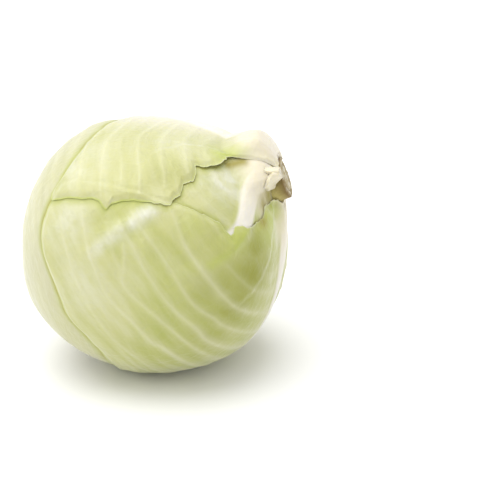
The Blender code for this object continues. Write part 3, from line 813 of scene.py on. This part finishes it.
def build_leaf(number, material):
    """One leaf over everything that is under it, cut off by the knife and level with the surface."""
    leaf = LEAVES[number]
    units, faces, margin = leaf_points(leaf)
    theta, psi = angles(units)
    inner, outer, depth = leaf.layers(units, stack(units, number))
    relief, colour, flow = leaf.veins(units)
    if not leaf.veined:
        relief, colour = relief * 0.0, colour * 0.0
    rib = leaf.rib_share(theta, psi)
    outer = outer + VEIN_HEIGHT * relief * smooth(0.0, VEIN_RIM, depth) * (1.0 - VEIN_UNDER_RIB * rib)
    cut = cut_radius(units)
    knob = leaf.knob_share(theta, psi)
    browned = 1.0 - knob * smooth(CUT_KNOB_FROM, CUT_KNOB_TO, theta)
    clipped = browned * smooth(-CUT_NEAR, 0.0, outer - cut)
    level = flat_radius(units, DOWN, MIDDLE[2])
    outer = np.minimum(soft_least(outer, cut, CUT_ROUND + KNOB_ROUND * knob), level)
    inner = np.minimum(inner, outer - LEAST_BLADE)
    points, all_faces = shell(units, outer, inner, faces, margin)
    rib_white = np.exp(-np.maximum(theta - RIB_WHITE_TO, 0.0) / RIB_WHITE_FADE)
    near, torn = outside(units, number)
    values = {
        "rib": rib * rib_white, "vein": colour, "edge": depth / MM,
        "stem": np.degrees(theta), "knob": knob, "cut": clipped, "torn": leaf.torn(units), "near": near,
        # A painted shadow line in the gap under the torn margins of the leaves over this one
        "gap_shadow": LEAF_GAP_SHADOW * np.exp(-((near / LEAF_GAP_SHADOW_WIDTH) ** 2)) * torn, "flow": flow / MM,
        **{kind: leaf.patch(units, kind) for kind in PATCH_KINDS},
    }
    values = {key: np.concatenate([data, data]) for key, data in values.items()}
    obj = new_mesh(f"fine_{leaf.name}", points, all_faces, values)
    add_piece(obj, leaf.name, material)


HEART_VEINS = Leaf(
    "heart_surface", seed=5, centre=(90, 40), rib=(330, 330, 110), grid=10,
    outline=[(175, 0), (175, 90), (175, 180), (175, 270)],
)


def build_heart(material):
    """The pale inner head, with the veins of its outermost leaf."""
    bpy.ops.mesh.primitive_ico_sphere_add(subdivisions=HEART_NET, radius=1.0)
    ball = bpy.context.object
    units = np.empty(len(ball.data.vertices) * 3)
    ball.data.vertices.foreach_get("co", units)
    units = units.reshape(-1, 3)
    units /= np.linalg.norm(units, axis=1)[:, None]
    faces = [tuple(p.vertices) for p in ball.data.polygons]
    bpy.data.objects.remove(ball)
    theta, psi = angles(units)
    relief, colour, flow = HEART_VEINS.veins(units)
    radius = heart_radius(units) + HEART_VEIN_HEIGHT * relief
    zero = np.zeros(len(units))
    near, _ = outside(units, -1)
    values = {
        "rib": zero, "vein": colour, "edge": zero + FAR_INSIDE, "stem": np.degrees(theta), "knob": zero,
        # A painted shadow line in the gap under the margins of the leaves over the heart
        "cut": zero, "torn": zero, "near": near, "gap_shadow": np.exp(-((near / HEART_GAP_SHADOW_WIDTH) ** 2)),
        "flow": flow / MM, **dict.fromkeys(PATCH_KINDS, zero),
    }
    obj = new_mesh("fine_heart", units * radius[:, None] + MIDDLE, faces, values)
    add_piece(obj, "heart", material)


def build_stump(material):
    """The cut stem: a browned, fibrous face with a ring of vessels."""
    radius, bearing, faces, margin = disc_grid(STUMP_GRID)
    rng = np.random.default_rng(STUMP_SEED)
    wave = 1.0 + sum(height * np.cos(count * bearing + phase) for count, phase, height in STUMP_WAVES)
    units = direction(STUMP_ANGLE * radius * wave, bearing)
    x, y = radius * np.cos(bearing), radius * np.sin(bearing)
    rough = np.zeros(len(units))
    for _ in range(FIBRES):
        rate = rng.normal(0.0, 1.0, 2) * FIBRE_RATE * rng.uniform(*FIBRE_RATES)
        rough += FIBRE_HEIGHT * np.sin(rate[0] * x + rate[1] * y + rng.uniform(0, FIBRE_PHASE))
    rings = sum(share * np.exp(-(((radius - at) / width) ** 2)) for at, width, share in VESSEL_RINGS)
    rim = smooth(FACE_RIM_FROM, 1.0, radius)
    sunk = FACE_DEPTH + RING_DEPTH * rings + FACE_RIM_DEPTH * rim + FIBRE_DEPTH * rough
    outer = cut_radius(units) - MM * np.maximum(sunk, 0.0)
    inner = (SEAT_HEIGHT + STUMP_GAP) / (units @ STEM)
    points, all_faces = shell(units, outer, inner, faces, margin)
    values = {"radius": np.tile(radius, 2), "top": np.repeat([1.0, 0.0], len(units))}
    obj = new_mesh("fine_stump", points, all_faces, values)
    add_piece(obj, "stump", material)


# The sockets of a mix node that mix colours: the share, the two colours and the result
MIX_INPUTS = (0, 6, 7)
MIX_OUTPUT = 2
NET_WIDTH = 0.12


class Finish:
    """A material and the nodes that drive its Principled shader."""

    def __init__(self, name, roughness, specular, scatter, sheen=0.0):
        self.material = bpy.data.materials.new(name)
        self.material.use_nodes = True
        self.tree = self.material.node_tree
        self.shader = self.tree.nodes["Principled BSDF"]
        looks = {
            "Roughness": roughness, "Specular IOR Level": specular, "Subsurface Weight": scatter,
            "Subsurface Radius": SCATTER_RADIUS, "Subsurface Scale": SCATTER_SCALE,
            "Sheen Weight": sheen,
        }
        for socket, value in looks.items():
            self.shader.inputs[socket].default_value = value

    def link(self, value, socket):
        """Joins an output to an input, or sets the input to a plain number or colour."""
        if isinstance(value, bpy.types.NodeSocket):
            self.tree.links.new(value, socket)
        else:
            socket.default_value = value

    def node(self, kind, **values):
        """A new node of this kind, with these values or links on its inputs."""
        node = self.tree.nodes.new(f"ShaderNode{kind}")
        for name, value in values.items():
            self.link(value, node.inputs[name])
        return node

    def value(self, name, output="Fac"):
        """The mesh's number at each point under this name, or its vector if output is Vector."""
        node = self.node("Attribute")
        node.attribute_name = name
        return node.outputs[output]

    def stretch(self, vector, scale):
        """A vector with each part multiplied by its own number."""
        return self.node("Mapping", Scale=scale, Vector=vector).outputs[0]

    def math(self, kind, a, b=0.0, c=0.0):
        """A calculation with up to three values."""
        node = self.node("Math")
        node.operation = kind
        for value, socket in zip((a, b, c), node.inputs):
            self.link(value, socket)
        return node.outputs[0]

    def times(self, a, b):
        """The product of two values."""
        return self.math("MULTIPLY", a, b)

    def ramp(self, value, low, high, start=0.0, end=1.0):
        """A smooth change from start to end as value goes from low to high."""
        node = self.node("MapRange")
        node.interpolation_type = "SMOOTHSTEP"
        for item, socket in zip((value, low, high, start, end), node.inputs):
            self.link(item, socket)
        return node.outputs[0]

    def mix(self, share, a, b):
        """Colour a turning into colour b."""
        node = self.node("Mix")
        node.data_type = "RGBA"
        for item, socket in zip((share, a, b), MIX_INPUTS):
            self.link(item, node.inputs[socket])
        return node.outputs[MIX_OUTPUT]

    def noise(self, scale, detail=2.0, vector=None):
        """Soft noise over the piece, or over a vector."""
        if vector is None:
            vector = self.node("TexCoord").outputs["Object"]
        return self.node("TexNoise", Scale=scale, Detail=detail, Vector=vector).outputs[0]

    def net(self, scale, vector):
        """A net of fine veins: 1 on them, 0 between them."""
        node = self.node("TexVoronoi", Scale=scale, Vector=vector)
        node.feature = "DISTANCE_TO_EDGE"
        return self.ramp(node.outputs["Distance"], 0.0, NET_WIDTH, 1.0, 0.0)

    def bump(self, height, distance):
        """Fine relief, with a height of 1 standing this far out, in metres."""
        node = self.node("Bump", Distance=distance, Height=height)
        self.link(node.outputs[0], self.shader.inputs["Normal"])

    def colour(self, value):
        """Sets the surface's colour."""
        self.link(value, self.shader.inputs["Base Color"])


def srgb(red, green, blue):
    """A colour from its 0 to 255 screen values under the studio's bright light."""
    parts = [c / 255 for c in (red, green, blue)]
    return (*[DIM * (c / 12.92 if c <= 0.04045 else ((c + 0.055) / 1.055) ** 2.4) for c in parts], 1.0)


# Colours. The shade greens and olive, and the green beside margins that lie over a leaf, are painted shade;
# the pale crease colour and the top cream are partly painted highlight.
CREAM = srgb(254, 249, 235)
PINK_CREAM = srgb(250, 240, 208)
KNOB_CREAM = srgb(246, 236, 210)
RIB_AND_HIGHLIGHT_CREAM = srgb(247, 240, 227)
VEIN_PALE = srgb(236, 234, 196)
PALE_AND_FOLD_HIGHLIGHT = srgb(248, 247, 230)
LEAF_PALE = srgb(216, 215, 150)
LEAF_GREEN = srgb(193, 197, 106)
LEAF_DEEP = srgb(177, 184, 92)
SHADE_BAND_GREEN = srgb(188, 196, 88)
EDGE_YELLOW = srgb(204, 214, 104)
SHADE_GREEN = srgb(157, 160, 22)
BRIGHT_GREEN = srgb(198, 209, 92)
SHADE_OLIVE = srgb(172, 161, 66)
HEART_PALE = srgb(211, 209, 167)
HEART_WARM = srgb(203, 202, 148)
CUT_BROWN = srgb(186, 168, 122)
CUT_OLIVE = srgb(238, 230, 204)
CUT_DARK = srgb(146, 122, 76)
CUT_SIDE = srgb(248, 236, 152)


def mottled(f, streaks, net, pale, green, deep, deep_share):
    """Pale and green with deeper spots, and pale and deep streaks and a net that follow the veins."""
    body = f.mix(f.ramp(f.noise(9.0), 0.35, 0.65), pale, green)
    spots = f.ramp(f.noise(28.0, detail=3.0), 0.45, 0.75)
    body = f.mix(f.times(spots, deep_share), body, deep)
    body = f.mix(f.ramp(streaks, 0.4, 0.7, 0.0, 0.35), body, VEIN_PALE)
    body = f.mix(f.ramp(streaks, 0.25, 0.45, 0.3, 0.0), body, deep)
    return f.mix(f.times(net, 0.05), body, VEIN_PALE)


def patched(f, flow, body):
    """The leaf's coloured patches and bands: deeper green that is partly painted shade, brighter green that
    is partly painted light, pale creases with a painted highlight in dashes, its side veins, and a pale
    midrib with a painted highlight along the top.
    """
    # Painted shade, partly the leaf's own deeper green
    body = f.mix(f.times(f.value("deep"), 0.95), body, SHADE_GREEN)
    # Partly the leaf's own brighter green, partly painted light on the lit side of a crease
    body = f.mix(f.times(f.value("bright"), 0.85), body, BRIGHT_GREEN)
    dashes = f.ramp(f.noise(1.0, detail=3.0, vector=f.stretch(flow, DASHES)), 0.35, 0.6, 0.65, 1.0)
    specks = f.ramp(f.noise(110.0), 0.35, 0.55, 0.5, 1.0)
    # A painted highlight along pale creases, partly pale leaf
    pale_and_highlight = f.times(f.value("pale"), f.times(dashes, specks))
    body = f.mix(pale_and_highlight, body, PALE_AND_FOLD_HIGHLIGHT)
    body = f.mix(f.times(f.value("vein"), 0.55), body, VEIN_PALE)
    # A pale midrib along the top with a painted highlight over it
    return f.mix(f.value("pale_rib_and_highlight"), body, RIB_AND_HIGHLIGHT_CREAM)


def margined(f, body, band, band_share):
    """Yellow and torn margins, and beside margins that lie on it painted green shade and a broken line of
    painted shadow in the gap.
    """
    edge = f.value("edge")
    body = f.mix(f.ramp(edge, 0.2, 1.8, 0.8, 0.0), body, EDGE_YELLOW)
    torn_rim = f.times(f.value("torn"), f.ramp(edge, 0.1, 1.0, 0.65, 0.0))
    body = f.mix(torn_rim, body, VEIN_PALE)
    # Painted shade: green beside the margins of leaves that lie over this one
    body = f.mix(f.ramp(f.value("near"), 0.0, band, band_share, 0.0), body, SHADE_BAND_GREEN)
    # A broken line of painted shadow in the gap under those margins
    broken = f.ramp(f.noise(45.0), 0.35, 0.6, 0.4, 1.0)
    return f.mix(f.times(f.value("gap_shadow"), broken), body, SHADE_OLIVE)


def whitened(f, body):
    """White midribs, petioles and leaf bases, except where the leaf is bright green."""
    rib = f.ramp(f.math("MAXIMUM", f.value("rib"), f.value("knob")), 0.05, 0.6)
    base = f.ramp(f.value("stem"), 19.0, 31.0, 0.95, 0.0)
    white = f.math("MAXIMUM", rib, base)
    white = f.times(white, f.math("SUBTRACT", 1.0, f.value("bright")))
    cream = f.mix(f.ramp(f.value("stem"), 12.0, 40.0), PINK_CREAM, CREAM)
    return f.mix(white, body, f.mix(f.value("knob"), cream, KNOB_CREAM))


def browned(f, body):
    """Olive painted shade in hollows and under curled margins, and brown where the knife went through."""
    # Painted shade
    body = f.mix(f.value("olive_shade"), body, SHADE_OLIVE)
    cut = f.times(f.value("cut"), f.ramp(f.noise(300.0, detail=3.0), 0.3, 0.6))
    return f.mix(cut, body, CUT_BROWN)


def leaf_finish(name, pale, green, deep, deep_share, band, band_share):
    """Waxy leaf: white ribs and veins, greener between them, and painted green shade beside the margins that
    lie on it.
    """
    f = Finish(name, roughness=0.42, specular=0.4, scatter=0.25, sheen=0.25)
    flow = f.value("flow", "Vector")
    streaks = f.noise(1.0, detail=3.0, vector=f.stretch(flow, STREAKS))
    net = f.net(0.13, flow)
    body = patched(f, flow, mottled(f, streaks, net, pale, green, deep, deep_share))
    f.colour(browned(f, whitened(f, margined(f, body, band, band_share))))
    height = f.math("MULTIPLY_ADD", net, 0.2, f.times(streaks, 2.0))
    height = f.math("MULTIPLY_ADD", f.noise(420.0, detail=3.0), 0.25, height)
    height = f.math("MULTIPLY_ADD", f.noise(95.0), 4.0, height)
    f.bump(height, 0.0003)
    return f.material


def stump_finish():
    """Cut stem: browned pith and darker vessels, cream on its side."""
    f = Finish("cut_stem", roughness=0.75, specular=0.25, scatter=0.1)
    radius = f.value("radius")
    face = f.mix(f.ramp(f.noise(260.0, detail=4.0), 0.4, 0.6), CUT_OLIVE, CUT_BROWN)
    ring = f.ramp(f.math("ABSOLUTE", f.math("SUBTRACT", radius, VESSEL_RING)), 0.0, 0.12, 0.6, 0.0)
    spots = f.ramp(f.noise(150.0, detail=3.0), 0.5, 0.62, 0.0, 0.4)
    rim = f.ramp(radius, 0.8, 1.0)
    for share in (ring, spots, rim):
        face = f.mix(share, face, CUT_DARK)
    f.colour(f.mix(f.value("top"), CUT_SIDE, face))
    f.bump(f.noise(700.0, detail=4.0), 0.0006)
    return f.material


def add_light(name, place_at, size, power):
    """A round soft lamp, turned towards the head."""
    lamp = bpy.data.lights.new(name, "AREA")
    lamp.shape = "DISK"
    lamp.size = size
    lamp.energy = power
    obj = bpy.data.objects.new(name, lamp)
    bpy.context.scene.collection.objects.link(obj)
    obj.location = place_at
    obj.rotation_euler = (Vector(LAMPS_AIM) - obj.location).to_track_quat("-Z", "Y").to_euler()


def add_camera():
    """The camera of the photograph, without shift."""
    az, el = CAMERA_AZIMUTH, CAMERA_ELEVATION
    back = Vector((math.sin(az) * math.cos(el), -math.cos(az) * math.cos(el), math.sin(el)))
    right = Vector((0, 0, 1)).cross(back).normalized()
    up = back.cross(right)
    distance = CAMERA_LENS * FRAME_PX * PIXEL / SENSOR
    across, down = (FRAME_PX / 2 - c for c in HEAD_MIDDLE_PX)
    at = Vector(MIDDLE) + right * across * PIXEL - up * down * PIXEL + back * distance
    camera = bpy.data.objects.new("camera", bpy.data.cameras.new("camera"))
    bpy.context.scene.collection.objects.link(camera)
    camera.matrix_world = Matrix.Translation(at) @ Matrix((right, up, back)).transposed().to_4x4()
    camera.data.lens = CAMERA_LENS
    camera.data.sensor_width = SENSOR
    bpy.context.scene.camera = camera


def add_studio():
    """A white floor, a white room and the lamps."""
    scene = bpy.context.scene
    scene.view_settings.view_transform = "Standard"
    world = bpy.data.worlds.new("studio")
    world.use_nodes = True
    sky = world.node_tree.nodes["Background"]
    sky.inputs["Color"].default_value = (1.0, 1.0, 1.0, 1.0)
    sky.inputs["Strength"].default_value = SKY
    scene.world = world
    corners = [(x * FLOOR_REACH, y * FLOOR_REACH, 0) for x, y in ((-1, -1), (1, -1), (1, 1), (-1, 1))]
    mesh = bpy.data.meshes.new("floor")
    mesh.from_pydata(corners, [], [(0, 1, 2, 3)])
    floor = bpy.data.objects.new("floor", mesh)
    scene.collection.objects.link(floor)
    f = Finish("floor", roughness=0.9, specular=0.0, scatter=0.0)
    f.colour(FLOOR_WHITE)
    mesh.materials.append(f.material)
    for lamp in LAMPS:
        add_light(*lamp)


wrapper = leaf_finish(
    "wrapper_leaf", LEAF_PALE, LEAF_GREEN, LEAF_DEEP, deep_share=0.35, band=6.0, band_share=0.65
)
heart = leaf_finish(
    "heart_leaf", HEART_PALE, HEART_WARM, LEAF_PALE, deep_share=0.3, band=8.0, band_share=0.75
)
petiole = leaf_finish(
    "petiole", CREAM, PINK_CREAM, LEAF_PALE, deep_share=0.1, band=3.0, band_share=0.2
)
for number, leaf in enumerate(LEAVES):
    build_leaf(number, wrapper if leaf.veined else petiole)
build_heart(heart)
build_stump(stump_finish())
add_camera()
add_studio()
